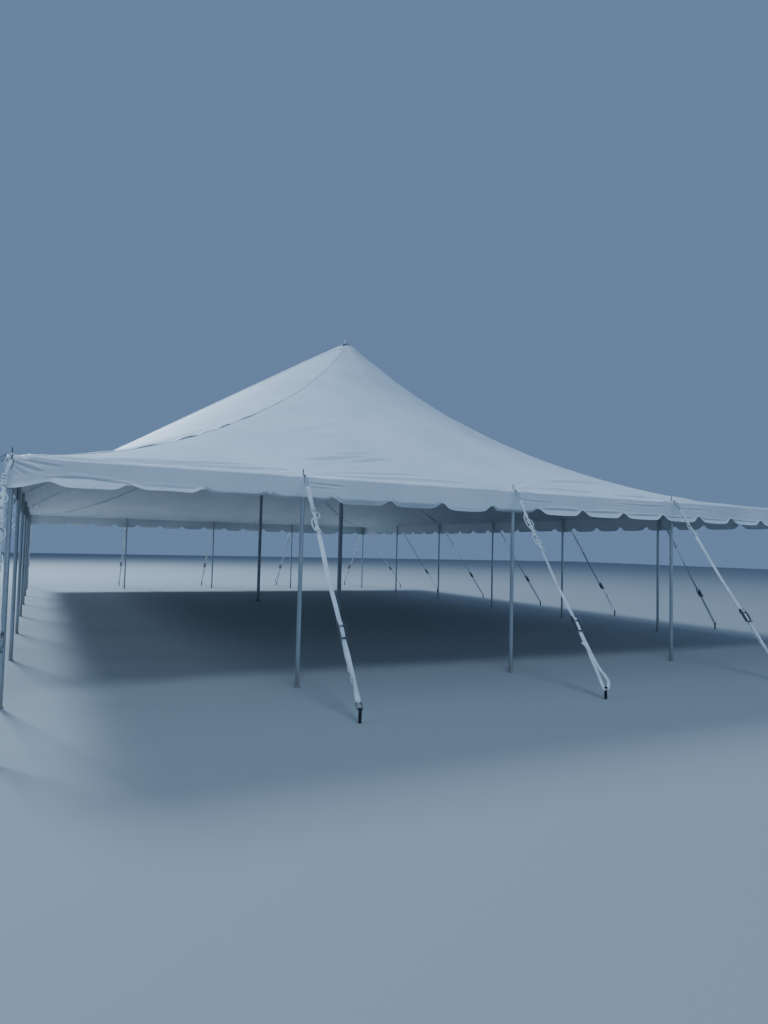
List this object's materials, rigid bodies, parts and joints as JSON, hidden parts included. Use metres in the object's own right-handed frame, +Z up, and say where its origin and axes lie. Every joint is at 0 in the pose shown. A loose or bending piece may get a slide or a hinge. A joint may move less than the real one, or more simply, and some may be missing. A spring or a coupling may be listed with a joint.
{
  "type": "pole marquee tent",
  "caption": "Open-sided rectangular pole tent: two-peaked fabric canopy with scalloped valance on side and centre poles, held by ratchet guys to ground stakes.",
  "frame": {"origin": "centre of the plan at ground level", "axes": "+X across the tent, +Y along its length away from the pictured end, +Z up"},
  "size_m": [15.794, 21.89, 6.3703],
  "materials": {
    "canopy_vinyl": "satin coated vinyl, softly creased",
    "valance_vinyl": "satin coated vinyl",
    "centre_pole_metal": "dull galvanised steel",
    "side_pole_metal": "dull weathered tube",
    "guy_webbing": "woven polyester webbing"
  },
  "bodies": {
    "root": {"canopy_front": "canopy_vinyl", "canopy_middle": "canopy_vinyl", "canopy_back": "canopy_vinyl", "valance_front": "valance_vinyl", "valance_back": "valance_vinyl", "valance_left": "valance_vinyl", "valance_right": "valance_vinyl", "centre_pole_front": "centre_pole_metal", "centre_pole_back": "centre_pole_metal", "side_pole_front_1": "side_pole_metal", "side_pole_front_2": "side_pole_metal", "side_pole_front_3": "side_pole_metal", "side_pole_front_4": "side_pole_metal", "side_pole_front_5": "side_pole_metal", "side_pole_back_1": "side_pole_metal", "side_pole_back_2": "side_pole_metal", "side_pole_back_3": "side_pole_metal", "side_pole_back_4": "side_pole_metal", "side_pole_back_5": "side_pole_metal", "side_pole_left_1": "side_pole_metal", "side_pole_left_2": "side_pole_metal", "side_pole_left_3": "side_pole_metal", "side_pole_left_4": "side_pole_metal", "side_pole_left_5": "side_pole_metal", "side_pole_right_1": "side_pole_metal", "side_pole_right_2": "side_pole_metal", "side_pole_right_3": "side_pole_metal", "side_pole_right_4": "side_pole_metal", "side_pole_right_5": "side_pole_metal", "guy_front_1": "guy_webbing", "guy_front_2": "guy_webbing", "guy_front_3": "guy_webbing", "guy_front_4": "guy_webbing", "guy_front_5": "guy_webbing", "guy_back_1": "guy_webbing", "guy_back_2": "guy_webbing", "guy_back_3": "guy_webbing", "guy_back_4": "guy_webbing", "guy_back_5": "guy_webbing", "guy_left_1": "guy_webbing", "guy_left_2": "guy_webbing", "guy_left_3": "guy_webbing", "guy_left_4": "guy_webbing", "guy_left_5": "guy_webbing", "guy_right_1": "guy_webbing", "guy_right_2": "guy_webbing", "guy_right_3": "guy_webbing", "guy_right_4": "guy_webbing", "guy_right_5": "guy_webbing"}
  },
  "joints": []
}
